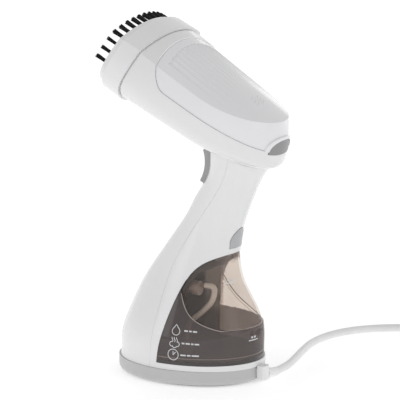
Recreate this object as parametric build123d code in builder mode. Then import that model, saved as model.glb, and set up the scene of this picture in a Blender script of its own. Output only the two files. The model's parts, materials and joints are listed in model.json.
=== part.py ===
"""Handheld garment steamer: tilted steam head, clip-on brush, grip with trigger, see-through tank in the bell.

Frame: millimetres, +Z up, origin at the centre of the rubber sole on the table, -X the way the steam blows.
"""

import math
import os

from build123d import *

os.makedirs("parts", exist_ok=True)

# ---------------------------------------------------------------- driving sizes
SHELL = 2.4  # wall of the moulded casings
TANK_WALL = 1.8
GAP = 0.35  # between pieces that part or move
SEAT = 0.12  # between pieces that are screwed together
REACH = 90.0  # half width of a cutting prism, past the widest piece
FAR = 160.0  # past the rear of everything

SKIRT_TOP = 13.5  # top of the grey base skirt
TRAY_TOP = 18.2  # top of the white shelf that the tank stands on

# Bell and grip: (height, centre x, front x, rear x, half width) of each level section.
BODY = [
    (10.0, 0.0, -63.6, 63.6, 50.2),
    (30.0, 0.0, -61.0, 63.0, 49.0),
    (47.0, 0.0, -55.8, 62.4, 46.6),
    (61.0, 1.0, -49.8, 57.0, 41.9),
    (76.0, 2.5, -42.6, 48.8, 35.9),
    (90.0, 5.0, -34.0, 44.4, 30.9),
    (104.0, 9.4, -24.2, 43.0, 27.0),
    (119.0, 15.4, -13.6, 44.6, 23.6),
    (136.0, 23.7, -2.0, 49.4, 21.2),
    (152.0, 31.6, 6.6, 55.8, 20.4),
    (164.0, 38.5, 14.4, 60.8, 20.6),
    (174.0, 44.0, 19.0, 66.5, 22.0),
    (186.0, 48.0, 20.5, 75.0, 24.5),
    (196.0, 50.0, 21.0, 79.0, 25.5),
]
# Tank above its shoulder: the same stations drawn in by the shoulder's ledge.
LEDGE = 1.6
NECK_TOP = 119.0

# Steam head: a stack of U-shaped outlines along its own axes. t runs rearward, h up, from the head's origin.
TILT = 27.0
HEAD_X, HEAD_Z = -43.1, 230.2
HEAD_FRONT = 1.2  # where the full section starts
ROUND = 0.5523  # handle of a Bezier that draws a quarter of a circle
MIDDLE = 60.0  # where the tapering sides turn into the round rear end
# (h at the front, h at the rear, half width at the front, at the middle, rear end), keel to sill.
KEEL = [
    (0.5, 1.6, 24.0, 22.0, 98.0),
    (3.2, 3.6, 36.0, 33.0, 111.0),
    (8.5, 6.8, 47.5, 42.6, 123.5),
    (15.5, 11.0, 54.6, 48.2, 130.2),
    (24.6, 16.5, 57.0, 50.0, 132.0),
]
# ... and from the sill up, past the domed top that cuts them off.
WALL = [
    KEEL[-1],
    (37.0, 33.0, 53.8, 48.2, 127.6),
    (51.0, 51.0, 46.6, 42.8, 118.6),
    (68.0, 68.0, 36.0, 34.0, 104.0),
]
DOME_FRONT, DOME_REAR = 61.0, 50.0  # height of the top's centre line at t = 0 and at its rear end
DOME_END = 118.0
DOME_RADIUS = 102.0
HEAD_LONG = 132.0

# Side-view lines, as (x, z): the joint between the handle's two shells, the tank's front and top edge,
# and the shoulder round the tank below which its wall stands proud.
SEAM = [
    (-13.6, 0.0),
    (-11.5, 30.0),
    (-8.0, 60.0),
    (-1.3, 97.0),
    (9.0, 119.0),
    (22.0, 140.0),
    (36.5, 162.0),
    (50.0, 205.0),
]
TANK_EDGE = [(-6.6, 5.0), (-5.9, 18.2), (1.1, 51.2), (9.4, 79.2), (19.8, 95.7), (33.0, 103.7), (52.0, 108.6)]
SHOULDER = [(-4.0, 112.0), (9.4, 79.0), (19.8, 60.4), (35.5, 51.0), (50.0, 46.6)]
TANK_BASE = 21.3  # top of the tank's welded base

# Dock that stands up inside the tank's front, and the tank's valve beside it.
DOCK_X, DOCK_HALF, DOCK_TOP = 19.4, 12.5, 90.0
VALVE_Y, VALVE_Z, VALVE_R = -21.0, 78.0, 4.5
SPOUT_Y = -18.0  # the valve's outlet, nearer the middle
PLUG_Y, PLUG_Z, PLUG_R = 24.0, 36.0, 6.0

# Top cover: how far it is sunk below the head's form, and the ribs along it.
COVER_INSET = 0.9
RIBS, RIB_PITCH, RIB_DEEP, RIB_R, RIB_LONG = 13, 6.0, 1.15, 4.2, 58.0

# Brush
CAP_LIP, CAP_STEP, CAP_FACE = 0.0, -17.0, -22.0  # rear rim, step and front face, along t
TUFT, TUFT_PITCH, TUFT_LONG = 2.7, 8.2, 10.6
TUFT_COUNT = 17

# Trigger
PIVOT_X, PIVOT_Z, PIN_R, PIN_LONG = 26.5, 188.0, 1.5, 25.4
TRIGGER_HALF = 10.4

# Power button and release button
BUTTON_HALF, BUTTON_SILL, BUTTON_TOP = 16.6, 24.6, 35.8
RELEASE_HALF, RELEASE_SILL, RELEASE_TOP = 9.6, 111.0, 127.5
RELEASE_MID = (RELEASE_SILL + RELEASE_TOP) / 2

# Mains lead
CORD_R = 3.2
GLAND_X, SLEEVE_END = 67.3, 22.0
SLEEVE_ROOT_Z, SLEEVE_END_Z = 6.8, 3.9  # the sleeve dips to the table
COIL_X, COIL_Y, COIL_R = 176.0, 172.0, 36.0
COIL_TURNS_WIDE, COIL_TURNS_HIGH = 3, 2

tilt = math.radians(TILT)
back_dir = Vector(math.cos(tilt), 0, -math.sin(tilt))
up_dir = Vector(math.sin(tilt), 0, math.cos(tilt))
head_origin = Vector(HEAD_X, 0, HEAD_Z)


def head_point(t, y, h):
    return head_origin + back_dir * t + up_dir * h + Vector(0, y, 0)


# Planes of the head: side view, level cut at h, and cross section at t.
head_side = Plane(origin=head_origin, x_dir=back_dir, z_dir=(0, -1, 0))


def head_level(h):
    return Plane(origin=head_point(0, 0, h), x_dir=back_dir, z_dir=up_dir)


def head_cross(t):
    return Plane(origin=head_point(t, 0, 0), x_dir=(0, 1, 0), z_dir=back_dir)


# ---------------------------------------------------------------- shared outer forms
def oval(plane, centre, front, rear, half_width):
    """A level section of the body: two half ellipses that share one width."""
    with BuildSketch(plane) as sketch:
        with BuildLine():
            EllipticalCenterArc((centre, 0), rear - centre, half_width, -90, arc_size=180)
            EllipticalCenterArc((centre, 0), centre - front, half_width, 90, arc_size=180)
        make_face()
    return sketch.sketch


def body_form(inset=0.0, narrow=0.0, top=None):
    """The bell and grip as one solid, drawn in by inset, and by narrow more at its sides and back."""
    with BuildPart() as form:
        loft(
            [
                oval(
                    Plane.XY.offset(z),
                    centre,
                    front + inset,
                    rear - inset - narrow / 2,
                    half - inset - narrow,
                ).face()
                for z, centre, front, rear, half in BODY
                if top is None or z <= top
            ]
        )
    return form.part


def u_outline(station, start, inset=0.0):
    """One U-shaped outline of the head: tapering sides and a round rear end, on a plane that may dip."""
    h_front, h_rear, w_front, w_mid, rear = station
    lean = math.atan2(h_rear - h_front, HEAD_LONG)
    along = back_dir * math.cos(lean) + up_dir * math.sin(lean)
    plane = Plane(
        origin=head_point(0, 0, h_front),
        x_dir=along,
        z_dir=along.cross(Vector(0, 1, 0)),
    )
    taper = (w_front - w_mid) / MIDDLE
    w_start = w_front - taper * start - inset
    w_mid, rear = w_mid - inset, rear - inset
    bend = MIDDLE + ROUND * (rear - MIDDLE)
    w_bend = w_mid - taper * (bend - MIDDLE)
    with BuildSketch(plane) as sketch:
        with BuildLine():
            Line((start, -w_start), (MIDDLE, -w_mid))
            Bezier((MIDDLE, -w_mid), (bend, -w_bend), (rear, -w_mid * ROUND), (rear, 0))
            Bezier((rear, 0), (rear, w_mid * ROUND), (bend, w_bend), (MIDDLE, w_mid))
            Line((MIDDLE, w_mid), (start, w_start))
            Line((start, w_start), (start, -w_start))
        make_face()
    return sketch.sketch


def dome(inset=0.0):
    """Everything below the head's domed top, which is arched across and dips to the rear."""
    dip = math.atan2(DOME_FRONT - DOME_REAR, DOME_END)
    along = back_dir * math.cos(dip) - up_dir * math.sin(dip)
    plane = Plane(origin=head_point(0, 0, DOME_FRONT - inset), x_dir=(0, 1, 0), z_dir=along)
    with BuildPart() as below:
        with BuildSketch(plane):
            with BuildLine():
                CenterArc((0, -DOME_RADIUS), DOME_RADIUS, 45, 90)
                Polyline(
                    (-DOME_RADIUS * math.sqrt(0.5), -DOME_RADIUS * (1 - math.sqrt(0.5))),
                    (-DOME_RADIUS * math.sqrt(0.5), -90),
                    (DOME_RADIUS * math.sqrt(0.5), -90),
                    (DOME_RADIUS * math.sqrt(0.5), -DOME_RADIUS * (1 - math.sqrt(0.5))),
                )
            make_face()
        extrude(amount=170, both=True)
    return below.part


def head_form(inset=0.0, start=HEAD_FRONT):
    """The steam head as one solid, drawn in by inset all round, from t = start."""
    keel = [(f + inset * 0.7, r + inset * 0.7, w, m, end) for f, r, w, m, end in KEEL[:-1]]
    with BuildPart() as form:
        loft([u_outline(station, start, inset).face() for station in (*keel, KEEL[-1])])
        loft([u_outline(station, start, inset).face() for station in WALL])
        add(dome(inset), mode=Mode.INTERSECT)
    return form.part


def head_section(t, grow_w=0.0, grow_h=0.0, scale=1.0):
    """The head's cross section at t, grown outward or scaled about its middle."""
    mid = 29.0
    wide = (56.6 + grow_w) / 56.6 * scale
    tall = (33.0 + grow_h) / 33.0 * scale

    def at(y, h):
        return (y * wide, mid + (h - mid) * tall)

    with BuildSketch(head_cross(t)) as sketch:
        with BuildLine():
            Line(at(-24, 0.5), at(24, 0.5))
            Spline(at(24, 0.5), at(36, 3.2), at(47.5, 8.5), at(54.6, 15.5), at(57, 24.6))
            ThreePointArc(at(57, 24.6), at(53.8, 37), at(47.4, 49.4))
            ThreePointArc(at(47.4, 49.4), at(0, 61), at(-47.4, 49.4))
            ThreePointArc(at(-47.4, 49.4), at(-53.8, 37), at(-57, 24.6))
            Spline(at(-57, 24.6), at(-54.6, 15.5), at(-47.5, 8.5), at(-36, 3.2), at(-24, 0.5))
        make_face()
    return sketch.sketch


def shifted(points, by):
    """The side-view line moved to its front and upper side by a distance."""
    out = []
    for i, (x, z) in enumerate(points):
        x0, z0 = points[max(i - 1, 0)]
        x1, z1 = points[min(i + 1, len(points) - 1)]
        length = math.hypot(x1 - x0, z1 - z0)
        out.append((x - (z1 - z0) / length * by, z + (x1 - x0) / length * by))
    return out


def behind(line, shift, floor):
    """Everything behind and below a side-view line, above a floor."""
    points = shifted(line, shift)
    first, last = points[0], points[-1]
    with BuildPart() as region:
        with BuildSketch(Plane.XZ):
            with BuildLine():
                Spline(*points)
                Polyline(last, (FAR, last[1]), (FAR, first[1]), first)
            make_face()
        extrude(amount=REACH, both=True)
        with Locations((0, 0, floor - 100)):
            Box(2 * FAR + 20, 2 * REACH + 20, 200, mode=Mode.SUBTRACT)
    return region.part


def under_shoulder(drop):
    """Everything below the tank's shoulder."""
    points = [(x, z - drop) for x, z in SHOULDER]
    with BuildPart() as region:
        with BuildSketch(Plane.XZ):
            with BuildLine():
                Spline(*points)
                Polyline(
                    points[-1],
                    (FAR, points[-1][1]),
                    (FAR, 0),
                    (-FAR, 0),
                    (-FAR, points[0][1]),
                    points[0],
                )
            make_face()
        extrude(amount=REACH, both=True)
    return region.part


def tank_form(inset, shift, floor, drop):
    """The tank's solid form, drawn in by inset: wide below the shoulder, narrower above it."""
    region = behind(TANK_EDGE, shift, floor)
    with BuildPart() as wide:
        add(body_form(inset, top=NECK_TOP))
        add(region, mode=Mode.INTERSECT)
        add(under_shoulder(drop), mode=Mode.INTERSECT)
    with BuildPart() as form:
        add(body_form(inset, LEDGE, top=NECK_TOP))
        add(region, mode=Mode.INTERSECT)
        add(wide.part)
    return form.part


def level_box(x0, x1, y0, y1, z0, z1):
    """A box given by its corners."""
    with BuildPart() as box:
        with Locations(((x0 + x1) / 2, (y0 + y1) / 2, (z0 + z1) / 2)):
            Box(x1 - x0, y1 - y0, z1 - z0)
    return box.part


def head_box(t0, t1, half, h0, h1, y=0.0):
    """A box square to the head's axes."""
    with BuildPart() as box:
        with BuildSketch(head_cross(t0)):
            with Locations((y, (h0 + h1) / 2)):
                Rectangle(2 * half, h1 - h0)
        extrude(amount=t1 - t0)
    return box.part


def rod(radius, start, end):
    """A round rod between two points."""
    line = Vector(*end) - Vector(*start)
    with BuildPart() as piece:
        with BuildSketch(Plane(origin=start, z_dir=line)):
            Circle(radius)
        extrude(amount=line.length)
    return piece.part


def hose(points, radius, bore=0.0, share=0.45):
    """A round hose: straight runs joined by arcs as large as they allow. Returns it, its radii and length."""
    corners = [Vector(*p) for p in points]
    radii = []
    for a, b, c in zip(corners, corners[1:], corners[2:]):
        turn = math.radians((b - a).get_angle(c - b))
        radii.append(share * min((b - a).length, (c - b).length) / math.tan(turn / 2))
    with BuildPart() as piece:
        with BuildLine() as path:
            FilletPolyline(*corners, radius=radii)
        with BuildSketch(Plane(origin=path.line @ 0, z_dir=path.line % 0)):
            Circle(radius)
            if bore:
                Circle(bore, mode=Mode.SUBTRACT)
        sweep()
    return piece.part, radii, path.wire().length


def save(piece, name):
    """Labels a finished piece and writes its STEP file."""
    piece.label = name
    export_step(piece, f"parts/{name}.step")
    return piece


# ---------------------------------------------------------------- base
with BuildPart() as sole:
    with BuildSketch():
        Ellipse(56.0, 42.6)
    extrude(amount=2.4)
    with BuildSketch():
        Ellipse(50.0, 36.6)
        Ellipse(47.0, 33.6, mode=Mode.SUBTRACT)
    extrude(amount=0.8, mode=Mode.SUBTRACT)
save(sole.part, "anti_slip_sole")

SCREWS = [(-49.0, -20.0), (-49.0, 20.0), (38.0, -26.0), (38.0, 26.0)]
with BuildPart() as skirt:
    with BuildSketch(Plane.XY.offset(1.2)):
        Ellipse(63.4, 50.0)
    extrude(amount=SKIRT_TOP - 1.2)
    fillet(skirt.edges().group_by(Axis.Z)[0], 4.5)
    with BuildSketch(Plane.XY.offset(4.0)):
        Ellipse(60.2, 46.8)
    extrude(amount=20, mode=Mode.SUBTRACT)
    with BuildSketch(Plane.XY.offset(1.2)):
        Ellipse(56.15, 42.75)
    extrude(amount=1.25, mode=Mode.SUBTRACT)
    with Locations(*[(x, y, 2.0) for x, y in SCREWS]):
        Cylinder(3.3, 2.6, mode=Mode.SUBTRACT)
        Cylinder(1.6, 8, mode=Mode.SUBTRACT)
    with Locations((62, 0, 8.5)):
        Box(12, 8.2, 7.0, mode=Mode.SUBTRACT)
save(skirt.part, "base_skirt")

with BuildPart() as plate:
    with BuildSketch(Plane.XY.offset(4.1)):
        Ellipse(59.6, 46.2)
        with Locations(*SCREWS):
            Circle(1.6, mode=Mode.SUBTRACT)
        with Locations((56, 0)):
            Rectangle(14, 12, mode=Mode.SUBTRACT)
    extrude(amount=2.4)
save(plate.part, "base_plate")

with BuildPart() as screws:
    with BuildSketch(Plane.XY.offset(2.6)):
        with Locations(*SCREWS):
            Circle(3.0)
    extrude(amount=0.7)
    with BuildSketch(Plane.XY.offset(2.6)):
        with Locations(*SCREWS):
            RegularPolygon(1.3, 6)
    extrude(amount=0.6, mode=Mode.SUBTRACT)
    with BuildSketch(Plane.XY.offset(3.3)):
        with Locations(*SCREWS):
            Circle(1.5)
    extrude(amount=11.0)
save(screws.part, "base_screws")

# ---------------------------------------------------------------- handle shells
head_seat = head_form(-SEAT)
body_outer = body_form()
body_inner = body_form(SHELL)

with BuildPart() as casing:
    add(body_outer)
    add(body_inner, mode=Mode.SUBTRACT)
    with Locations((0, 0, SKIRT_TOP + SEAT - 50)):
        Box(300, 300, 100, mode=Mode.SUBTRACT)
    add(head_seat, mode=Mode.SUBTRACT)


def release_window(grow):
    """The arched outline of the release button, as a prism along X through the rear of the neck."""
    half, sill, top = RELEASE_HALF + grow, RELEASE_SILL - grow, RELEASE_TOP + grow
    with BuildPart() as prism:
        with BuildSketch(Plane.YZ.offset(25)):
            with BuildLine():
                Polyline((-half, sill + 4), (-half, sill), (half, sill), (half, sill + 4))
                Spline(
                    (half, sill + 4),
                    (half * 0.72, top - 4.2),
                    (0, top),
                    (-half * 0.72, top - 4.2),
                    (-half, sill + 4),
                )
            make_face()
        extrude(amount=40)
    return prism.part


BOSS_R = 4.0
with BuildPart() as front_shell:
    add(casing.part)
    for x, y in SCREWS[:2]:
        with Locations((x, y, (SKIRT_TOP - 5 + 40) / 2)):
            Cylinder(BOSS_R, 40 - SKIRT_TOP + 5)
    for side in (-1, 1):
        with Locations((27, side * 19, 186)):
            Box(11, 15.6, 14)
    add(body_outer, mode=Mode.INTERSECT)
    add(behind(SEAM, SEAT / 2, -50), mode=Mode.SUBTRACT)
    with Locations(*[(x, y, 13) for x, y in SCREWS[:2]]):
        Cylinder(1.52, 18, mode=Mode.SUBTRACT)
    add(head_seat, mode=Mode.SUBTRACT)
    with Locations((14, 0, 182)):
        Box(36, 2 * TRIGGER_HALF + 1.0, 39.6, mode=Mode.SUBTRACT)
    with Locations((PIVOT_X, 0, PIVOT_Z)):
        Cylinder(PIN_R + 0.03, PIN_LONG + 0.2, rotation=(90, 0, 0), mode=Mode.SUBTRACT)
save(front_shell.part, "handle_front_shell")

with BuildPart() as rear_core:
    add(body_inner)
    add(behind(TANK_EDGE, GAP + SHELL, TRAY_TOP - SHELL), mode=Mode.SUBTRACT)
    with Locations((30, 0, RELEASE_MID - 1)):
        Box(2.0, 80, 16, mode=Mode.SUBTRACT)
with BuildPart() as rear_shell:
    add(body_outer)
    add(behind(SEAM, -SEAT / 2, SKIRT_TOP + SEAT), mode=Mode.INTERSECT)
    add(rear_core.part, mode=Mode.SUBTRACT)
    add(behind(TANK_EDGE, 0, TRAY_TOP), mode=Mode.SUBTRACT)
    add(head_seat, mode=Mode.SUBTRACT)
    with Locations(*[(x, y, 11.5) for x, y in SCREWS[2:]]):
        Cylinder(4.5, 9.5)
        Cylinder(1.52, 12, mode=Mode.SUBTRACT)
    add(release_window(0.3), mode=Mode.SUBTRACT)
    # passages through the wall in front of the tank: valve, filler plug and dock
    with Locations((0, VALVE_Y, VALVE_Z)):
        Cylinder(8.3, 60, rotation=(0, 90, 0), mode=Mode.SUBTRACT)
    with Locations((0, PLUG_Y, PLUG_Z)):
        Cylinder(PLUG_R + 3.5, 34, rotation=(0, 90, 0), mode=Mode.SUBTRACT)
    with Locations((0, 0, 50)):
        Box(60, 2 * DOCK_HALF - 5, 62, mode=Mode.SUBTRACT)
save(rear_shell.part, "handle_rear_shell")

# ---------------------------------------------------------------- dock and coupling, fixed in the handle
def dock_form(grow):
    """The upright box that the tank's front recess slides over."""
    with BuildPart() as form:
        add(level_box(-20, DOCK_X + grow, -DOCK_HALF - grow, DOCK_HALF + grow, 0, DOCK_TOP + grow))
    return form.part


with BuildPart() as dock:
    add(dock_form(0))
    add(behind(TANK_EDGE, -0.02, TRAY_TOP + 0.1), mode=Mode.INTERSECT)
    with Locations(((DOCK_X - 2) / 2 - 20, 0, 50)):
        Box(DOCK_X - 2 + 40, 2 * DOCK_HALF - 4, 60, mode=Mode.SUBTRACT)
save(dock.part, "dock_tower")

with BuildPart() as coupling:
    add(rod(8.0, (-8, VALVE_Y, VALVE_Z), (5.4, VALVE_Y, VALVE_Z)))
    add(rod(2.4, (-15, VALVE_Y, VALVE_Z), (-8, VALVE_Y, VALVE_Z)))
    add(rod(VALVE_R + 0.4, (-4, VALVE_Y, VALVE_Z), (8, VALVE_Y, VALVE_Z)), mode=Mode.SUBTRACT)
    add(rod(6.5, (1, VALVE_Y, VALVE_Z), (3.6, VALVE_Y, VALVE_Z)), mode=Mode.SUBTRACT)
    add(rod(1.2, (-16, VALVE_Y, VALVE_Z), (-3, VALVE_Y, VALVE_Z)), mode=Mode.SUBTRACT)
save(coupling.part, "tank_coupling")

with BuildPart() as seal:
    add(rod(6.45, (1.05, VALVE_Y, VALVE_Z), (3.55, VALVE_Y, VALVE_Z)))
    add(rod(VALVE_R + 0.06, (0, VALVE_Y, VALVE_Z), (5, VALVE_Y, VALVE_Z)), mode=Mode.SUBTRACT)
save(seal.part, "coupling_seal")

# ---------------------------------------------------------------- tank
with BuildPart() as hollow:
    add(tank_form(TANK_WALL, -GAP - TANK_WALL, 0, TANK_WALL + 0.3))
    add(dock_form(GAP + TANK_WALL), mode=Mode.SUBTRACT)
with BuildPart() as tank:
    add(tank_form(0, -GAP, TANK_BASE + SEAT, 0))
    add(hollow.part, mode=Mode.SUBTRACT)
    add(dock_form(GAP), mode=Mode.SUBTRACT)
    add(rod(VALVE_R + 0.1, (-10, VALVE_Y, VALVE_Z), (14, VALVE_Y, VALVE_Z)), mode=Mode.SUBTRACT)
    add(rod(PLUG_R + 0.2, (-12, PLUG_Y, PLUG_Z), (6, PLUG_Y, PLUG_Z)), mode=Mode.SUBTRACT)
save(tank.part, "water_tank")
with BuildPart() as water:
    add(hollow.part)
    with Locations((0, 0, TANK_BASE - 100)):
        Box(300, 300, 200, mode=Mode.SUBTRACT)
print("tank holds", round(water.part.volume / 1000, 1), "ml to the brim")

with BuildPart() as tank_base:
    add(tank_form(0, -GAP, TRAY_TOP + 0.3, 0))
    with Locations((0, 0, TANK_BASE + 100)):
        Box(300, 300, 200, mode=Mode.SUBTRACT)
    add(dock_form(GAP), mode=Mode.SUBTRACT)
save(tank_base.part, "tank_base")

with BuildPart() as valve:
    add(rod(VALVE_R, (-3, VALVE_Y, VALVE_Z), (15, VALVE_Y, VALVE_Z)))
    add(rod(6.0, (14.6, VALVE_Y, VALVE_Z), (20, VALVE_Y, VALVE_Z)))
    add(rod(2.2, (20, SPOUT_Y, VALVE_Z + 2), (23, SPOUT_Y, VALVE_Z + 2)))
    add(rod(1.2, (-4, VALVE_Y, VALVE_Z), (18, VALVE_Y, VALVE_Z)), mode=Mode.SUBTRACT)
save(valve.part, "tank_valve")

tank_hose, tank_hose_radii, tank_hose_long = hose(
    [
        (23.1, SPOUT_Y, VALVE_Z + 2),
        (32.5, SPOUT_Y, VALVE_Z + 2),
        (30.5, SPOUT_Y - 0.5, 67.5),
        (20.5, SPOUT_Y - 2.0, 57.0),
        (10.0, VALVE_Y - 0.5, 48.5),
        (8.0, VALVE_Y - 1, 39.0),
        (8.0, VALVE_Y - 1, 29.6),
    ],
    2.3,
    1.4,
)
save(tank_hose, "suction_hose")

with BuildPart() as strainer:
    with Locations((8.0, VALVE_Y - 1, 25.5)):
        Cylinder(5.0, 8.0)
    fillet(strainer.edges().group_by(Axis.Z)[-1], 2.0)
    with Locations((8.0, VALVE_Y - 1, 25.0)):
        with PolarLocations(5.0, 10):
            Box(3, 0.8, 5, mode=Mode.SUBTRACT)
save(strainer.part, "suction_filter")

with BuildPart() as filler:
    add(rod(PLUG_R, (-4.6, PLUG_Y, PLUG_Z), (3.5, PLUG_Y, PLUG_Z)))
    add(rod(PLUG_R + 2.6, (-6.9, PLUG_Y, PLUG_Z), (-4.5, PLUG_Y, PLUG_Z)))
    add(level_box(-9.9, -6.9, PLUG_Y - 1.2, PLUG_Y + 1.2, PLUG_Z - 5, PLUG_Z + 5))
save(filler.part, "filler_plug")

# ---------------------------------------------------------------- pump and hoses in the handle
PUMP_X = -31.0
with BuildPart() as pump:
    with Locations((PUMP_X, 0, 46)):
        Cylinder(11, 32)
    with Locations((PUMP_X, 0, 65)):
        Cylinder(2.4, 6)
    with Locations((PUMP_X, 0, 46)):
        Box(15, 25, 20)
    fillet(pump.edges().filter_by(Axis.Z), 1.0)
    add(rod(2.4, (PUMP_X, -19, 33), (PUMP_X, -8, 33)))
save(pump.part, "water_pump")

with BuildPart() as mounts:
    with Locations((PUMP_X, 0, 58.6)):
        Cylinder(15, 5)
        Cylinder(11.02, 6, mode=Mode.SUBTRACT)
    with Locations((PUMP_X, 0, 28.4)):
        Cylinder(14, 3)
save(mounts.part, "pump_mounts")

inlet, inlet_radii, inlet_long = hose(
    [
        (-15.1, VALVE_Y, VALVE_Z),
        (-25.0, VALVE_Y, VALVE_Z),
        (-29.0, -24.0, 64.0),
        (-31.0, -29.6, 49.0),
        (-31.0, -30.6, 33.0),
        (-31.0, -19.2, 33.0),
    ],
    2.6,
)
save(inlet, "pump_inlet_hose")

outlet, outlet_radii, outlet_long = hose(
    [
        (PUMP_X, 0, 68.2),
        (PUMP_X, 0, 81),
        (-12, 8, 104),
        (10, 10, 124),
        (27, 11, 144),
        (39, 12, 162),
        (46, 12.5, 178),
        (47, 12, 194),
        (38, 10, 210),
        tuple(head_point(61, 8.5, 24)),
        tuple(head_point(40.3, 8, 24)),
    ],
    2.6,
)
save(outlet, "pump_outlet_hose")

harness, harness_radii, harness_long = hose(
    [
        (39.7, 0, 9.5),
        (22, 0.5, 9.6),
        (4, -5, 9.9),
        (-15.5, -11, 11),
        (-17.5, -13.5, 30),
        (-15, -12.5, 48),
        (-14, -11, 66),
        (-11, -8, 84),
        (0, -9, 106),
        (16, -11, 126),
        (30, -12, 146),
        (41, -12.5, 164),
        (48, -12.5, 180),
        (51, -12.5, 196),
        (49, -12, 207),
    ],
    2.4,
)
save(harness, "wire_harness")

# ---------------------------------------------------------------- trigger
with BuildPart() as trigger:
    with BuildSketch(Plane.XZ):
        with BuildLine():
            ThreePointArc((16.4, 191.2), (17.9, 178.0), (13.3, 165.2))
            Polyline(
                (13.3, 165.2),
                (17.8, 163.0),
                (24.5, 170.0),
                (27.5, 180.0),
                (29.6, 188.0),
                (27.5, 191.2),
                (16.4, 191.2),
            )
        make_face()
    extrude(amount=TRIGGER_HALF, both=True)
    fillet(trigger.edges().filter_by(Axis.Y).sort_by(Axis.Z)[:2], 1.0)
    add(head_form(-0.6), mode=Mode.SUBTRACT)
    with Locations((PIVOT_X, 0, PIVOT_Z)):
        Cylinder(PIN_R + 0.05, 60, rotation=(90, 0, 0), mode=Mode.SUBTRACT)
save(trigger.part, "trigger")

with BuildPart() as pin:
    with Locations((PIVOT_X, 0, PIVOT_Z)):
        Cylinder(PIN_R, PIN_LONG, rotation=(90, 0, 0))
save(pin.part, "trigger_pin")


def spring(radius, wire, start, end):
    """The sleeve that a coil spring fills."""
    with BuildPart() as sleeve:
        add(rod(radius, start, end))
        add(rod(radius - wire, start, end), mode=Mode.SUBTRACT)
    return sleeve.part


save(spring(3.0, 0.6, (27.9, 0, 176), (34.9, 0, 176)), "trigger_spring")
save(level_box(35, 41, -4.5, 4.5, 168, 184), "trigger_switch")

# ---------------------------------------------------------------- release button
with BuildPart() as release:
    add(body_form(-0.5))
    add(body_form(2.9), mode=Mode.SUBTRACT)
    add(release_window(0), mode=Mode.INTERSECT)
    add(rod(1.8, (37.0, 0, RELEASE_MID), (42.6, 0, RELEASE_MID)))
save(release.part, "release_button")
save(spring(3.2, 0.6, (31.1, 0, RELEASE_MID), (40.6, 0, RELEASE_MID)), "release_spring")

# ---------------------------------------------------------------- steam head shells
SPIGOT = -13.0  # front end of the collar that the brush slides on to
COLLAR_IN = 1.0  # how far the collar stands in from the head's own section


def collar(front, rear, inset, low_inset):
    """The collar's solid form from t = front to t = rear, drawn in from the head's section."""
    with BuildPart() as form:
        extrude(head_section(front, -inset, -low_inset).face(), amount=rear - front, dir=back_dir)
    return form.part


with BuildPart() as head_outer:
    add(head_form(0, HEAD_FRONT))
    add(collar(SPIGOT, HEAD_FRONT + 2, COLLAR_IN, COLLAR_IN))
with BuildPart() as head_inner:
    add(head_form(SHELL, HEAD_FRONT + 1.2))
    add(collar(SPIGOT - 5, HEAD_FRONT + 3, COLLAR_IN + SHELL, COLLAR_IN + 1.6))
COVER_LINE = [(8.0, 70.0), (9.2, 61.0), (15.5, 50.0), (22.0, 40.6), (28.5, 34.6), (38.0, 32.0)]
COVER_REAR = (150.0, 25.0)


def cover_zone(shift):
    """The side-view region of the top cover, drawn back from the seam by shift."""
    with BuildPart() as zone:
        with BuildSketch(head_side):
            with BuildLine():
                points = [(t + shift, h + shift * 0.7) for t, h in COVER_LINE]
                end = (COVER_REAR[0], COVER_REAR[1] + shift * 0.7)
                Spline(*points)
                Polyline(points[-1], end, (end[0], points[0][1]), points[0])
            make_face()
        extrude(amount=REACH, both=True)
    return zone.part


def button_window(grow):
    """The power button's outline, as a prism along the head."""
    half, sill, top = BUTTON_HALF + grow, BUTTON_SILL - grow, BUTTON_TOP + grow
    brow = BUTTON_SILL + 4.6 + grow
    with BuildPart() as prism:
        with BuildSketch(head_cross(100)):
            with BuildLine():
                Line((-half, sill), (half, sill))
                Spline((half, sill), (half * 0.93, brow), (half * 0.68, top - 2.6), (0, top))
                Spline((0, top), (-half * 0.68, top - 2.6), (-half * 0.93, brow), (-half, sill))
            make_face()
        extrude(amount=50)
    return prism.part


with BuildPart() as main_shell:
    add(head_outer.part)
    add(head_inner.part, mode=Mode.SUBTRACT)
    add(cover_zone(0), mode=Mode.SUBTRACT)
    add(button_window(0.35), mode=Mode.SUBTRACT)
    # the way from the neck into the head, for the wires and the hose
    with BuildSketch(Plane.XY.offset(150)):
        with Locations((46, 0)):
            SlotOverall(46, 36)
    extrude(amount=60, mode=Mode.SUBTRACT)
save(main_shell.part, "head_main_shell")

with BuildPart() as bezel:
    add(head_form(-0.8))
    add(head_inner.part, mode=Mode.SUBTRACT)
    add(button_window(2.6), mode=Mode.INTERSECT)
    add(cover_zone(0.25), mode=Mode.INTERSECT)

dip = math.atan2(DOME_FRONT - DOME_REAR, DOME_END)
rib_dir = (back_dir * math.cos(dip) - up_dir * math.sin(dip)).normalized()
rib_up = (up_dir * math.cos(dip) + back_dir * math.sin(dip)).normalized()
with BuildPart() as cover:
    add(head_form(COVER_INSET, HEAD_FRONT))
    add(head_inner.part, mode=Mode.SUBTRACT)
    add(cover_zone(0.25), mode=Mode.INTERSECT)
    for i in range(RIBS):
        y = (i - (RIBS - 1) / 2) * RIB_PITCH
        fall = DOME_RADIUS - math.sqrt(DOME_RADIUS**2 - y**2)
        start_t = 17.0 + 0.0042 * y * y
        top = head_point(0, y, DOME_FRONT - COVER_INSET - fall) + rib_dir * start_t
        rise = math.atan2(RIB_DEEP, RIB_LONG)
        axis = rib_dir * math.cos(rise) + rib_up * math.sin(rise)
        begin = top + rib_up * (RIB_R - RIB_DEEP)
        add(rod(RIB_R, tuple(begin), tuple(begin + axis * (RIB_LONG + 8))), mode=Mode.SUBTRACT)
    add(bezel.part)
    add(button_window(0.35), mode=Mode.SUBTRACT)
save(cover.part, "head_top_cover")

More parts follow.
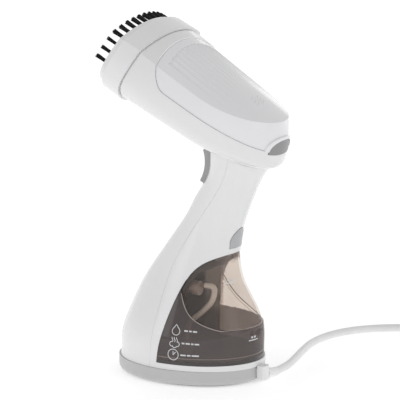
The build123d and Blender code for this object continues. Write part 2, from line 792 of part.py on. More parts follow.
with BuildPart() as power:
    add(head_form(-0.4))
    add(head_form(3.0), mode=Mode.SUBTRACT)
    add(button_window(0), mode=Mode.INTERSECT)
    add(head_box(122, 126.6, 2.4, 27.5, 32.3))
save(power.part, "power_button")
button_spring = spring(4.2, 0.7, tuple(head_point(118.1, 0, 29.9)), tuple(head_point(124.0, 0, 29.9)))
save(button_spring, "power_button_spring")
save(head_box(108, 118, 7, 24, 36), "power_switch")

# (t, y, length, half width, height) of what stands on the board
BOARD_PARTS = [(60, -12, 16, 8, 7), (82, 11, 12, 7, 5), (62, 12, 9, 5, 6), (84, -12, 8, 6, 4)]
with BuildPart() as board:
    add(head_box(56, 98, 24, 38, 39.6))
    for t, y, long, half, tall in BOARD_PARTS:
        add(head_box(t, t + long, half, 39.6, 39.6 + tall, y))
save(board.part, "control_board")

# ---------------------------------------------------------------- steam plate and boiler
def section_slab(t0, t1, scale, hole=None):
    """A slab with the outline of the head's section, with or without the same outline cut out of it."""
    with BuildPart() as slab:
        extrude(head_section(t0, scale=scale).face(), amount=t1 - t0, dir=back_dir)
        if hole:
            extrude(head_section(t0, scale=hole).face(), amount=t1 - t0, dir=back_dir, mode=Mode.SUBTRACT)
    return slab.part


PLATE_SHARE = 0.9  # the plate's outline as a share of the head's section
with BuildPart() as steam_plate:
    add(section_slab(-15.0, -12.0, PLATE_SHARE))
    with BuildSketch(head_cross(-20)):
        for width, height, count in ((64, 30, 18), (38, 14, 10)):
            for i in range(count):
                turn = 2 * math.pi * i / count
                with Locations((width / 2 * math.cos(turn), 29 + height / 2 * math.sin(turn))):
                    Circle(1.5)
    extrude(amount=12, mode=Mode.SUBTRACT)
save(steam_plate.part, "steam_plate")
save(section_slab(-11.9, -10.0, PLATE_SHARE, 0.78), "plate_gasket")

BLOCK_FRONT, BLOCK_REAR = -9.9, 30.0
with BuildPart() as block:
    with BuildSketch(head_cross(BLOCK_FRONT)):
        with Locations((0, 28)):
            RectangleRounded(76, 34, 8)
    extrude(amount=BLOCK_REAR - BLOCK_FRONT)
    with BuildSketch(head_cross(BLOCK_FRONT)):
        with Locations((0, 28)):
            RectangleRounded(64, 20, 6)
    extrude(amount=8, mode=Mode.SUBTRACT)
    add(rod(3.2, tuple(head_point(29, 8, 24)), tuple(head_point(40, 8, 24))))
    for y in (-26, 26):
        add(rod(3.3, tuple(head_point(4, y, 28)), tuple(head_point(34, y, 28))), mode=Mode.SUBTRACT)
    add(head_box(2, 8.0, 29.3, 24.7, 31.3), mode=Mode.SUBTRACT)
save(block.part, "boiler_block")

with BuildPart() as heater:
    for y in (-26, 26):
        add(rod(3.2, tuple(head_point(5, y, 28)), tuple(head_point(38, y, 28))))
    add(head_box(2.2, 7.8, 29.1, 25.0, 31.0))
save(heater.part, "heating_element")

save(head_box(-9.0, 29.0, 34, 45.1, 47.0), "boiler_lid")
with BuildPart() as thermostat:
    add(rod(8.0, tuple(head_point(12, -14, 47.05)), tuple(head_point(12, -14, 49.6))))
    add(rod(5.5, tuple(head_point(12, -14, 49.5)), tuple(head_point(12, -14, 52.0))))
save(thermostat.part, "thermostat")
save(rod(2.2, tuple(head_point(4, 14, 49.4)), tuple(head_point(22, 14, 49.4))), "thermal_fuse")

# ---------------------------------------------------------------- clip-on brush
with BuildPart() as sleeve:
    loft([head_section(CAP_LIP, 1.7, 2.2).face(), head_section(CAP_STEP, 1.3, 1.7).face()])
with BuildPart() as flange:
    loft([head_section(CAP_STEP, -0.4, -0.2).face(), head_section(CAP_FACE, -2.2, -1.6).face()])
with BuildPart() as brush:
    add(sleeve.part)
    add(flange.part)
    add(collar(-15.6, 2, COLLAR_IN - GAP, COLLAR_IN - GAP), mode=Mode.SUBTRACT)
    extrude(head_section(CAP_FACE - 5, scale=0.8).face(), amount=20, dir=back_dir, mode=Mode.SUBTRACT)

EDGE = 0.885  # the row of tufts follows the section's outline, drawn in by this share


def row_point(y, h):
    return (y * EDGE, 29 + (h - 29) * EDGE)


with BuildLine(head_cross(CAP_FACE + 1.6)) as row:
    ThreePointArc(row_point(57, 24.6), row_point(53.8, 37), row_point(47.4, 49.4))
    ThreePointArc(row_point(47.4, 49.4), row_point(0, 61), row_point(-47.4, 49.4))
    ThreePointArc(row_point(-47.4, 49.4), row_point(-53.8, 37), row_point(-57, 24.6))
row_wire = row.wire()
row_start = (row_wire.length - (TUFT_COUNT - 1) * TUFT_PITCH) / 2
with BuildPart() as tufts:
    for i in range(TUFT_COUNT):
        share = (row_start + i * TUFT_PITCH) / row_wire.length
        with BuildSketch(Plane(origin=row_wire @ share, x_dir=row_wire % share, z_dir=-back_dir)):
            Rectangle(TUFT, TUFT)
        extrude(amount=TUFT_LONG + 1.6)
save(tufts.part, "brush_bristles")
with BuildPart() as brush_frame:
    add(brush.part)
    add(tufts.part, mode=Mode.SUBTRACT)
save(brush_frame.part, "brush_frame")

# ---------------------------------------------------------------- mains lead
with BuildPart() as gland:
    add(level_box(58.5, GLAND_X, -3.9, 3.9, 5.2, 11.8))
    add(level_box(64.3, GLAND_X + 3.6, -4.8, 4.8, 3.0, 14.2))
    fillet(gland.edges().filter_by(Axis.Z).sort_by(Axis.X)[-2:], 2.0)
    with BuildSketch(Plane(origin=(GLAND_X, 4.7, SLEEVE_ROOT_Z), z_dir=(0, 1, 0))):
        Circle(3.75)
    with BuildSketch(Plane(origin=(GLAND_X, SLEEVE_END, SLEEVE_END_Z), z_dir=(0, 1, 0))):
        Circle(CORD_R + 0.4)
    loft()
save(gland.part, "cord_gland")

with BuildPart() as clamp:
    add(level_box(44, 50, -9, 9, 6.6, 12.6))
    add(rod(2.5, (43, 0, 9.5), (51, 0, 9.5)), mode=Mode.SUBTRACT)
save(clamp.part, "cord_clamp")
save(rod(2.4, (40.0, 0, 9.5), (58.4, 0, 9.5)), "lead_inner")

ROUTE = [
    (GLAND_X, SLEEVE_END, SLEEVE_END_Z),
    (67.0, 40.0, CORD_R),
    (62.0, 64.0, CORD_R),
    (54.5, 92.0, CORD_R),
    (48.5, 120.0, CORD_R),
    (50.0, 151.0, CORD_R),
    (64.0, 180.0, CORD_R),
    (93.0, 203.0, CORD_R),
    (133.0, 216.0, CORD_R),
    (COIL_X - 4.0, COIL_Y + COIL_R + 6.0, CORD_R),
]
lead, lead_radii, lead_long = hose(ROUTE, CORD_R)
save(lead, "power_cord")
print("lead: run", round(lead_long, 1), "radii", [round(r, 1) for r in lead_radii])
print("tube check", round(lead.volume / (math.pi * CORD_R**2), 1))

wide = COIL_TURNS_WIDE * CORD_R
with BuildPart() as coil:
    with BuildSketch():
        with Locations((COIL_X, COIL_Y)):
            Circle(COIL_R + wide)
            Circle(COIL_R - wide, mode=Mode.SUBTRACT)
    extrude(amount=2 * CORD_R * COIL_TURNS_HIGH)
    fillet(coil.edges().filter_by(GeomType.CIRCLE), CORD_R * 0.8)
save(coil.part, "power_cord_coil")

TAIL = [
    (COIL_X + COIL_R + 8.0, COIL_Y + 8.0, CORD_R),
    (COIL_X + COIL_R + 13.0, COIL_Y - 14.0, CORD_R),
    (COIL_X + COIL_R + 11.0, COIL_Y - 38.0, 7.0),
    (COIL_X + COIL_R + 3.0, COIL_Y - 60.0, 14.0),
]
tail, tail_radii, tail_long = hose(TAIL, CORD_R)
save(tail, "power_cord_tail")
print("tail: run", round(tail_long, 1), "radii", [round(r, 1) for r in tail_radii])

tie_x = COIL_X - COIL_R
high = 2 * CORD_R * COIL_TURNS_HIGH
with BuildPart() as tie:
    add(level_box(tie_x - wide - 1.2, tie_x + wide + 1.2, COIL_Y - 5, COIL_Y + 5, 0, high + 1.2))
    inside = level_box(tie_x - wide - 0.3, tie_x + wide + 0.3, COIL_Y - 6, COIL_Y + 6, -1, high + 0.1)
    add(inside, mode=Mode.SUBTRACT)
save(tie.part, "cord_tie")

# Plug: lies on its side at the end of the tail, face pointing away.
PLUG_R_OUT, PLUG_LONG, PLUG_FACE = 18.5, 34.0, 12.0
plug_at = Vector(*TAIL[-1])
run = plug_at - Vector(*TAIL[-2])
plug_dir = Vector(run.X, run.Y, 0).normalized()
plug_axis = Vector(plug_at.X, plug_at.Y, PLUG_R_OUT)


def along_plug(distance):
    return Plane(origin=plug_axis + plug_dir * distance, x_dir=Vector(0, 0, 1), z_dir=plug_dir)


with BuildPart() as plug_body:
    with BuildSketch(Plane(origin=plug_at, z_dir=run)):
        Circle(CORD_R + 0.6)
    with BuildSketch(along_plug(24.0)):
        Circle(8.0)
    loft()
    with BuildSketch(along_plug(23.5)):
        Circle(13.0)
    with BuildSketch(along_plug(PLUG_LONG)):
        Circle(PLUG_R_OUT)
    loft()
    with BuildSketch(along_plug(PLUG_LONG)):
        Circle(PLUG_R_OUT)
    extrude(amount=PLUG_FACE)
save(plug_body.part, "plug_body")
with BuildPart() as plug_pins:
    with BuildSketch(along_plug(PLUG_LONG + PLUG_FACE)):
        with Locations((0, 9.5), (0, -9.5)):
            Circle(2.4)
    extrude(amount=19)
save(plug_pins.part, "plug_pins")

for title, radii in (
    ("suction hose", tank_hose_radii),
    ("inlet hose", inlet_radii),
    ("outlet hose", outlet_radii),
    ("harness", harness_radii),
):
    print(title, [round(r, 1) for r in radii])
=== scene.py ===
"""Looks of a handheld garment steamer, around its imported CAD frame. +Z is up and steam blows to -X."""

import json
import math
import random

import bmesh
import bpy
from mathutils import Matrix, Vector
from mathutils.bvhtree import BVHTree


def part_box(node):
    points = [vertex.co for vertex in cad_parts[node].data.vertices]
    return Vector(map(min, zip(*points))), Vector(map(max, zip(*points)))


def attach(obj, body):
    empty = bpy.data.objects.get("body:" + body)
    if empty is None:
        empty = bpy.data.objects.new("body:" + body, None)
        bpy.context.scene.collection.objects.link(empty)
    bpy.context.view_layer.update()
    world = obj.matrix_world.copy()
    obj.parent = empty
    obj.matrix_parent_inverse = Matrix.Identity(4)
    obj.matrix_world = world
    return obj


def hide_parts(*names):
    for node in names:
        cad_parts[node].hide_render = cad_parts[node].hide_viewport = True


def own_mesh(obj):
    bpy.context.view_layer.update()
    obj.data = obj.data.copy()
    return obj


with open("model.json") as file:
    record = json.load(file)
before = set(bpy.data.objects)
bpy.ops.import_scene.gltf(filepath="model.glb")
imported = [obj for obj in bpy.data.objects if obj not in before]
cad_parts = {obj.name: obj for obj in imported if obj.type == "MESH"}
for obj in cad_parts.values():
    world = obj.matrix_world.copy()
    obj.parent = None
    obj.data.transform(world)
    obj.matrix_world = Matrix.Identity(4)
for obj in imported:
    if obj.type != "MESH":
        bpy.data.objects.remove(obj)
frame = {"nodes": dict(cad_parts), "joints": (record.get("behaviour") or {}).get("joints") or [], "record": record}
nodes = frame["nodes"]
joints = {joint["name"]: joint for joint in frame["joints"]}
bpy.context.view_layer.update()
MM = 0.001  # one millimetre in metres; sizes and places of single parts are in millimetres

# ---------------------------------------------------------------- camera, light, floor
scene = bpy.context.scene
scene.view_settings.view_transform = "Standard"
scene.cycles.transparent_max_bounces = 32
CAMERA_AT = Vector((1.4454, -2.5036, 0.8017))
LOOK_AT = Vector((-0.0131, 0.0362, 0.1367))
FOCAL_LENGTH = 325.4
camera = bpy.data.objects.new("camera", bpy.data.cameras.new("camera"))
camera.location = CAMERA_AT
camera.rotation_euler = (LOOK_AT - CAMERA_AT).to_track_quat("-Z", "Y").to_euler()
camera.data.lens = FOCAL_LENGTH
camera.data.clip_end = 20.0
scene.collection.objects.link(camera)
scene.camera = camera


def area_light(name, place, target, size, power, colour=(1.0, 1.0, 1.0)):
    """A rectangular soft box aimed at a point."""
    light = bpy.data.lights.new(name, "AREA")
    light.shape = "RECTANGLE"
    light.size, light.size_y = size
    light.energy = power
    light.color = colour
    obj = bpy.data.objects.new(name, light)
    obj.location = place
    obj.rotation_euler = (Vector(target) - Vector(place)).to_track_quat("-Z", "Y").to_euler()
    scene.collection.objects.link(obj)


MIDDLE = (0.0, 0.0, 0.17)
area_light("key", (-0.9, -1.5, 0.7), MIDDLE, (0.7, 1.2), 2.0)
area_light("fill", (1.9, -0.5, 0.5), MIDDLE, (0.8, 1.6), 1.5, (1.0, 0.985, 0.965))
area_light("back", (0.3, 1.7, 0.3), MIDDLE, (1.8, 0.8), 3.0)

# The surroundings fade from warm white at the horizon to light grey overhead.
HORIZON, OVERHEAD = (1.0, 0.995, 0.99, 1), (0.74, 0.74, 0.745, 1)
world = bpy.data.worlds.new("studio")
scene.world = world
world.use_nodes = True
world_nodes, world_links = world.node_tree.nodes, world.node_tree.links
sky = world_nodes.new("ShaderNodeTexCoord")
split = world_nodes.new("ShaderNodeSeparateXYZ")
ramp = world_nodes.new("ShaderNodeValToRGB")
world_links.new(sky.outputs["Generated"], split.inputs[0])
world_links.new(split.outputs["Z"], ramp.inputs["Fac"])
ramp.color_ramp.elements[0].position = 0.0
ramp.color_ramp.elements[0].color = HORIZON
ramp.color_ramp.elements[1].position = 0.8
ramp.color_ramp.elements[1].color = OVERHEAD
background = world_nodes["Background"]
world_links.new(ramp.outputs["Color"], background.inputs["Color"])
background.inputs["Strength"].default_value = 0.86

FLOOR_SIZE, FLOOR_DROP = 14.0, 0.0002
bpy.ops.mesh.primitive_plane_add(size=FLOOR_SIZE, location=(0, 0, -FLOOR_DROP))
floor = bpy.context.object
floor.name = "floor"
floor_paint = bpy.data.materials.new("floor_paint")
floor_paint.use_nodes = True
floor_shader = floor_paint.node_tree.nodes["Principled BSDF"]
floor_shader.inputs["Base Color"].default_value = (0.95, 0.95, 0.95, 1)
floor_shader.inputs["Roughness"].default_value = 0.9
floor_shader.inputs["Emission Color"].default_value = (1, 1, 1, 1)
floor_shader.inputs["Emission Strength"].default_value = 0.36
floor.data.materials.append(floor_paint)


# ---------------------------------------------------------------- materials
MIN_ROUGH, WAVE_SCALE = 0.02, 160.0


def mapped(tree, scale=(1.0, 1.0, 1.0), turn=(0.0, 0.0, 0.0)):
    """Object coordinates in metres, stretched and turned."""
    coords = tree.nodes.new("ShaderNodeTexCoord")
    mapping = tree.nodes.new("ShaderNodeMapping")
    mapping.inputs["Scale"].default_value = scale
    mapping.inputs["Rotation"].default_value = turn
    tree.links.new(coords.outputs["Object"], mapping.inputs["Vector"])
    return mapping.outputs["Vector"]


def noise(tree, vector, scale, detail=3.0, roughness=0.5):
    """Cloudy noise from 0 to 1."""
    node = tree.nodes.new("ShaderNodeTexNoise")
    node.inputs["Scale"].default_value = scale
    node.inputs["Detail"].default_value = detail
    node.inputs["Roughness"].default_value = roughness
    tree.links.new(vector, node.inputs["Vector"])
    return node.outputs["Fac"]


def ranged(tree, value, low, high, start=0.3, end=0.7):
    """A value that runs from low to high while its input runs from start to end."""
    node = tree.nodes.new("ShaderNodeMapRange")
    for name, number in (("From Min", start), ("From Max", end), ("To Min", low), ("To Max", high)):
        node.inputs[name].default_value = number
    tree.links.new(value, node.inputs["Value"])
    return node.outputs["Result"]


def blended(tree, fac, dark, light):
    """A colour between two, by a value from 0 to 1."""
    node = tree.nodes.new("ShaderNodeMix")
    node.data_type = "RGBA"
    tree.links.new(fac, node.inputs["Factor"])
    node.inputs["A"].default_value = (*dark, 1)
    node.inputs["B"].default_value = (*light, 1)
    return node.outputs["Result"]


def bumped(tree, height, depth, under=None):
    """Relief of a depth in metres, laid over another relief."""
    node = tree.nodes.new("ShaderNodeBump")
    node.inputs["Distance"].default_value = depth
    tree.links.new(height, node.inputs["Height"])
    if under:
        tree.links.new(under, node.inputs["Normal"])
    return node.outputs["Normal"]


def surface(name, colour, rough, vary=0.03, rough_vary=0.05, mottle=45.0, grain=2600.0, depth=0.000012,
            wave=0.0, stretch=(1.0, 1.0, 1.0), **fixed):
    """A material whose colour drifts slowly, with a fine grain and, when asked for, a slow waviness.

    vary is the share by which the colour drifts, mottle and grain are noise scales, depth and wave are
    relief depths in metres, and fixed holds shader inputs by name, with _ for a space.
    """
    material = bpy.data.materials.new(name)
    material.use_nodes = True
    tree = material.node_tree
    shader = tree.nodes["Principled BSDF"]
    plain = mapped(tree)
    drift = ranged(tree, noise(tree, plain, mottle, 4.0), 0.0, 1.0)
    dark = [c * (1 - vary) for c in colour]
    light = [min(1.0, c * (1 + vary)) for c in colour]
    tree.links.new(blended(tree, drift, dark, light), shader.inputs["Base Color"])
    fine = noise(tree, mapped(tree, stretch), grain, 2.0, 0.6)
    roughness = ranged(tree, fine, max(MIN_ROUGH, rough - rough_vary), rough + rough_vary)
    tree.links.new(roughness, shader.inputs["Roughness"])
    normal = bumped(tree, fine, depth)
    if wave:
        normal = bumped(tree, noise(tree, plain, WAVE_SCALE, 1.0), wave, normal)
    tree.links.new(normal, shader.inputs["Normal"])
    for socket, value in fixed.items():
        shader.inputs[socket.replace("_", " ")].default_value = value
    return material


def gloss(name, colour, rough=0.2):
    """Moulded glossy plastic: a faint orange peel under a clear skin."""
    return surface(name, colour, rough, vary=0.012, rough_vary=0.035, mottle=18.0, grain=3200.0,
                   depth=0.000003, wave=0.00001, Coat_Weight=0.35, Coat_Roughness=0.08)


def brushed(name, colour, rough, stretch):
    """Metal with fine drawn lines along one direction."""
    return surface(name, colour, rough, vary=0.06, rough_vary=0.1, mottle=120.0, grain=1500.0,
                   depth=0.000008, stretch=stretch, Metallic=1.0)


def smoky(name, tint, body, clear, strong):
    """Clear smoky plastic: it filters what is behind it, more so at its edges, and mirrors like glass.

    tint is what the plastic lets through and body its own colour. clear and strong are the shares of
    the body's colour seen face on and at a grazing angle.
    """
    material = surface(name, body, 0.08, vary=0.08, rough_vary=0.02, mottle=25.0, grain=900.0,
                       depth=0.000002, wave=0.000008)
    tree = material.node_tree
    shader = tree.nodes["Principled BSDF"]
    glass = tree.nodes.new("ShaderNodeBsdfTransparent")
    drift = ranged(tree, noise(tree, mapped(tree), 22.0, 2.0), 0.0, 1.0)
    tinted = blended(tree, drift, [c * 0.96 for c in tint], [min(1.0, c * 1.02) for c in tint])
    tree.links.new(tinted, glass.inputs["Color"])
    facing = tree.nodes.new("ShaderNodeLayerWeight")
    facing.inputs["Blend"].default_value = 0.3
    mix = tree.nodes.new("ShaderNodeMixShader")
    tree.links.new(ranged(tree, facing.outputs["Facing"], clear, strong, 0.55, 1.0), mix.inputs["Fac"])
    tree.links.new(glass.outputs["BSDF"], mix.inputs[1])
    tree.links.new(shader.outputs["BSDF"], mix.inputs[2])
    mirror = tree.nodes.new("ShaderNodeBsdfGlossy")
    mirror.inputs["Roughness"].default_value = 0.05
    skin_mix = tree.nodes.new("ShaderNodeMixShader")
    tree.links.new(ranged(tree, facing.outputs["Facing"], 0.035, 0.5, 0.6, 1.0), skin_mix.inputs["Fac"])
    tree.links.new(mix.outputs["Shader"], skin_mix.inputs[1])
    tree.links.new(mirror.outputs["BSDF"], skin_mix.inputs[2])
    tree.links.new(skin_mix.outputs["Shader"], tree.nodes["Material Output"].inputs["Surface"])
    return material


def braided(name, colour, pitch):
    """A woven sleeve: two crossed sets of strands."""
    material = surface(name, colour, 0.6, vary=0.12, grain=1500.0)
    tree = material.node_tree
    shader = tree.nodes["Principled BSDF"]
    height = None
    for turn in (0.7, -0.7):
        wave = tree.nodes.new("ShaderNodeTexWave")
        wave.inputs["Scale"].default_value = 1.0 / pitch
        tree.links.new(mapped(tree, (1, 1, 1), (turn, turn, 0)), wave.inputs["Vector"])
        if height is None:
            height = wave.outputs["Fac"]
            continue
        top = tree.nodes.new("ShaderNodeMath")
        top.operation = "MAXIMUM"
        tree.links.new(height, top.inputs[0])
        tree.links.new(wave.outputs["Fac"], top.inputs[1])
        height = top.outputs[0]
    tree.links.new(bumped(tree, height, 0.0002), shader.inputs["Normal"])
    return material


def circuit(name):
    """A green lacquered board with lighter tracks."""
    material = surface(name, (0.02, 0.12, 0.05), 0.3, vary=0.1, grain=900.0)
    tree = material.node_tree
    bricks = tree.nodes.new("ShaderNodeTexBrick")
    bricks.inputs["Scale"].default_value = 140.0
    bricks.inputs["Mortar Size"].default_value = 0.06
    bricks.inputs["Color1"].default_value = (0.02, 0.13, 0.05, 1)
    bricks.inputs["Color2"].default_value = (0.015, 0.1, 0.04, 1)
    bricks.inputs["Mortar"].default_value = (0.1, 0.32, 0.12, 1)
    tree.links.new(mapped(tree), bricks.inputs["Vector"])
    tree.links.new(bricks.outputs["Color"], tree.nodes["Principled BSDF"].inputs["Base Color"])
    return material


MATERIALS = {
    "white_shell": gloss("white_shell", (0.77, 0.77, 0.777)),
    "white_cover": gloss("white_cover", (0.79, 0.79, 0.805)),
    "white_brush": gloss("white_brush", (0.78, 0.78, 0.79), 0.24),
    "grey_skirt": surface("grey_skirt", (0.50, 0.50, 0.505), 0.38, vary=0.02, grain=4200.0,
                          depth=0.00001),
    "bay_dark": surface("bay_dark", (0.055, 0.045, 0.045), 0.35, vary=0.05, grain=3000.0),
    "smoke_clear": smoky("smoke_clear", tint=(0.93, 0.895, 0.865), body=(0.50, 0.43, 0.38),
                         clear=0.03, strong=0.25),
    "smoke_dense": smoky("smoke_dense", tint=(0.40, 0.33, 0.31), body=(0.105, 0.082, 0.078),
                         clear=0.55, strong=0.85),
    "smoke_top": smoky("smoke_top", tint=(0.62, 0.56, 0.53), body=(0.20, 0.165, 0.15),
                       clear=0.30, strong=0.6),
    "smoke_mid": surface("smoke_mid", (0.23, 0.185, 0.165), 0.3, vary=0.06, Coat_Weight=0.3),
    # Lighter than the tank: a painted highlight for the shoulder's rounded edge.
    "smoke_painted_highlight": surface("smoke_painted_highlight", (0.36, 0.32, 0.30), 0.2, vary=0.05, Coat_Weight=0.5),
    "smoke_dark": surface("smoke_dark", (0.045, 0.036, 0.036), 0.28, vary=0.05, Coat_Weight=0.3),
    "silicone": surface("silicone", (0.68, 0.68, 0.66), 0.5, vary=0.04, Subsurface_Weight=0.2,
                        Subsurface_Scale=0.002),
    "hose_clear": surface("hose_clear", (0.70, 0.66, 0.62), 0.32, vary=0.05, Coat_Weight=0.3),
    "rubber_sole": surface("rubber_sole", (0.03, 0.03, 0.032), 0.75, vary=0.15, grain=1800.0,
                           depth=0.00004),
    "inner_plastic": surface("inner_plastic", (0.62, 0.62, 0.60), 0.5, vary=0.04, depth=0.00002),
    "steel_screw": brushed("steel_screw", (0.55, 0.55, 0.56), 0.3, (1, 1, 0.05)),
    "pump_body": surface("pump_body", (0.03, 0.03, 0.033), 0.45, vary=0.1, depth=0.00003),
    "wire_sleeve": braided("wire_sleeve", (0.5, 0.5, 0.48), 0.003),
    "grey_trigger": surface("grey_trigger", (0.335, 0.335, 0.34), 0.4, vary=0.02, grain=3600.0,
                            depth=0.000012),
    "grey_button": surface("grey_button", (0.27, 0.27, 0.275), 0.4, vary=0.02, grain=3600.0,
                           depth=0.000012),
    "grey_release": surface("grey_release", (0.43, 0.44, 0.45), 0.38, vary=0.02, grain=3600.0,
                            depth=0.000012),
    "spring_steel": brushed("spring_steel", (0.5, 0.5, 0.52), 0.3, (1, 1, 0.1)),
    "switch_black": surface("switch_black", (0.02, 0.02, 0.02), 0.4, vary=0.1, depth=0.00002),
    "board_green": circuit("board_green"),
    "steam_plate": brushed("steam_plate", (0.66, 0.66, 0.67), 0.3, (0.1, 1, 1)),
    "cast_aluminium": surface("cast_aluminium", (0.55, 0.55, 0.55), 0.5, vary=0.1, grain=1200.0,
                              depth=0.00006, Metallic=1.0),
    "heater_steel": brushed("heater_steel", (0.36, 0.33, 0.29), 0.4, (0.1, 1, 1)),
    "thermostat_steel": brushed("thermostat_steel", (0.6, 0.6, 0.58), 0.25, (1, 1, 0.1)),
    "black_bristle": surface("black_bristle", (0.004, 0.004, 0.004), 0.45, vary=0.3, mottle=500.0,
                             Specular_IOR_Level=0.25),
    "gland_white": surface("gland_white", (0.80, 0.80, 0.80), 0.45, vary=0.02, depth=0.00001),
    "cord_white": surface("cord_white", (0.82, 0.82, 0.825), 0.42, vary=0.025, mottle=60.0,
                          grain=1500.0, depth=0.000015),
    "tie_black": surface("tie_black", (0.02, 0.02, 0.02), 0.55, vary=0.2, grain=1500.0, depth=0.00003),
    "plug_white": surface("plug_white", (0.82, 0.82, 0.825), 0.42, vary=0.02, depth=0.000015),
    "pin_nickel": brushed("pin_nickel", (0.68, 0.66, 0.62), 0.2, (1, 1, 0.1)),
    "print_white": surface("print_white", (0.62, 0.62, 0.63), 0.5, vary=0.04, grain=3000.0,
                           depth=0.00001),
}

slots = {part["node"]: part["material_slot"] for part in frame["record"]["subparts"]}
for name, node in nodes.items():
    node.data.materials.clear()
    node.data.materials.append(MATERIALS[slots[name]])


def ray_tree(mesh):
    """A mesh made ready for rays."""
    corners = [vertex.co for vertex in mesh.vertices]
    return BVHTree.FromPolygons(corners, [tuple(face.vertices) for face in mesh.polygons])


# The wall of the tank's bay is painted dark, as painted shade behind the tank: faces of the rear shell that have
# the tank close in front.
TRAY_TOP, BAY_GAP, RAY_LIFT = 18.1 * MM, 4.0 * MM, 0.01 * MM
tank = nodes["water_tank"]
tank_tree = ray_tree(tank.data)
rear_shell = nodes["handle_rear_shell"].data
# A second, dark finish on the rear shell paints the shade in the bay behind the tank.
rear_shell.materials.append(MATERIALS["bay_dark"])
for face in rear_shell.polygons:
    beside = tank_tree.ray_cast(face.center + face.normal * RAY_LIFT, face.normal, BAY_GAP)
    if face.center.z > TRAY_TOP and beside[0] is not None:
        face.material_index = 1


# ---------------------------------------------------------------- helpers for new pieces
def new_piece(name, mesh, slot, body="handle", stands_for=(), smooth=True):
    """A mesh as a piece on a body, with its finish."""
    for face in mesh.polygons:
        face.use_smooth = smooth
    obj = bpy.data.objects.new(name, mesh)
    scene.collection.objects.link(obj)
    mesh.materials.append(MATERIALS[slot])
    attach(obj, body)
    if stands_for:
        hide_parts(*stands_for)
    return obj


def made(name, build):
    """A mesh filled by a function that is given an empty bmesh."""
    mesh = bpy.data.meshes.new(name)
    work = bmesh.new()
    build(work)
    bmesh.ops.recalc_face_normals(work, faces=work.faces)
    work.to_mesh(mesh)
    work.free()
    return mesh


def loose_parts(node):
    """The corners of each separate solid of a CAD node."""
    work = bmesh.new()
    work.from_mesh(nodes[node].data)
    bmesh.ops.remove_doubles(work, verts=work.verts, dist=1e-6)
    left = set(work.verts)
    parts = []
    for first in work.verts:
        if first not in left:
            continue
        left.discard(first)
        stack, seen = [first], []
        while stack:
            vert = stack.pop()
            seen.append(vert.co.copy())
            for edge in vert.link_edges:
                other = edge.other_vert(vert)
                if other in left:
                    left.discard(other)
                    stack.append(other)
        parts.append(seen)
    work.free()
    return sorted(parts, key=lambda p: (round(p[0].y, 4), round(p[0].x, 4)))


def ring(work, centre, side, up, radius, count, wobble=None):
    """Corners round a centre, in the plane of two directions. wobble scales the radius by the angle."""
    verts = []
    for i in range(count):
        turn = 2 * math.pi * i / count
        r = radius * (wobble(turn) if wobble else 1.0)
        verts.append(work.verts.new(centre + side * (math.cos(turn) * r) + up * (math.sin(turn) * r)))
    return verts


def skin(work, rings, capped=True):
    """Faces between rings that follow each other, and a cap at each end."""
    for a, b in zip(rings, rings[1:]):
        for i in range(len(a)):
            j = (i + 1) % len(a)
            work.faces.new((a[i], a[j], b[j], b[i]))
    if capped:
        work.faces.new(rings[0])
        work.faces.new(list(reversed(rings[-1])))


def square_to(direction):
    """Two directions square to a direction and to each other."""
    side = direction.cross(Vector((0, 0, 1)))
    if side.length < 1e-4:
        side = Vector((1, 0, 0))
    side.normalize()
    return side, direction.cross(side).normalized()


def turned(name, origin, direction, profile, slot, count, stands_for, wobble=None, centre=None):
    """A piece of the handle turned about an axis.

    profile is (distance, radius) in mm. wobble scales the radius by angle and distance, and centre
    bends the axis.
    """
    direction = direction.normalized()
    side, up = square_to(direction)

    def build(work):
        rings = []
        for distance, radius in profile:
            at = origin + direction * (distance * MM)
            if centre:
                at = at + centre(distance)
            shape = (lambda turn: wobble(turn, distance)) if wobble else None
            rings.append(ring(work, at, side, up, radius * MM, count, shape))
        skin(work, rings)

    return new_piece(name, made(name, build), slot, stands_for=stands_for)


LINE_ORDER = 3


def line_curve(name, points, radius, slot, body="handle", stands_for=(), resolution=6, around=3):
    """A round wire along a smooth line whose control points are given. Lengths are in metres."""
    data = bpy.data.curves.new(name, "CURVE")
    data.dimensions = "3D"
    data.bevel_depth = radius
    data.bevel_resolution = around
    data.resolution_u = resolution
    data.use_fill_caps = True
    spline = data.splines.new("NURBS")
    spline.points.add(len(points) - 1)
    for target, point in zip(spline.points, points):
        target.co = (*point, 1)
    spline.order_u = LINE_ORDER
    spline.use_endpoint_u = True
    obj = bpy.data.objects.new(name, data)
    scene.collection.objects.link(obj)
    data.materials.append(MATERIALS[slot])
    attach(obj, body)
    if stands_for:
        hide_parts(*stands_for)
    return obj


# ---------------------------------------------------------------- mains lead
CORD_R = 3.2
COIL_X, COIL_Y, COIL_R = 176.0, 172.0, 36.0
COIL_TURNS, TURN_POINTS = 5.2, 24
INWARD_STEPS = ((0.85, 1.0), (1.85, 2.0))  # turns at which the lower layer moves one flex in
OUTWARD_STEPS = ((3.35, 3.6), (4.35, 4.6))  # and the upper one moves out again
RISE = (2.55, 2.82)
ROUTE = [
    (67.3, 22.0, 3.9),
    (67.0, 40.0, CORD_R),
    (62.0, 64.0, CORD_R),
    (54.5, 92.0, CORD_R),
    (48.5, 120.0, CORD_R),
    (50.0, 151.0, CORD_R),
    (64.0, 180.0, CORD_R),
    (93.0, 203.0, CORD_R),
    (133.0, 215.5, CORD_R),
    (160.0, 215.9, CORD_R),
]
TAIL = [
    (222.0, 171.0, 8.0),
    (226.0, 152.0, 4.6),
    (222.5, 132.0, 7.6),
    (215.0, 112.0, 14.0),
]


def step(value, start, end):
    """0 before start, 1 after end, smooth between."""
    share = min(1.0, max(0.0, (value - start) / (end - start)))
    return share * share * (3 - 2 * share)


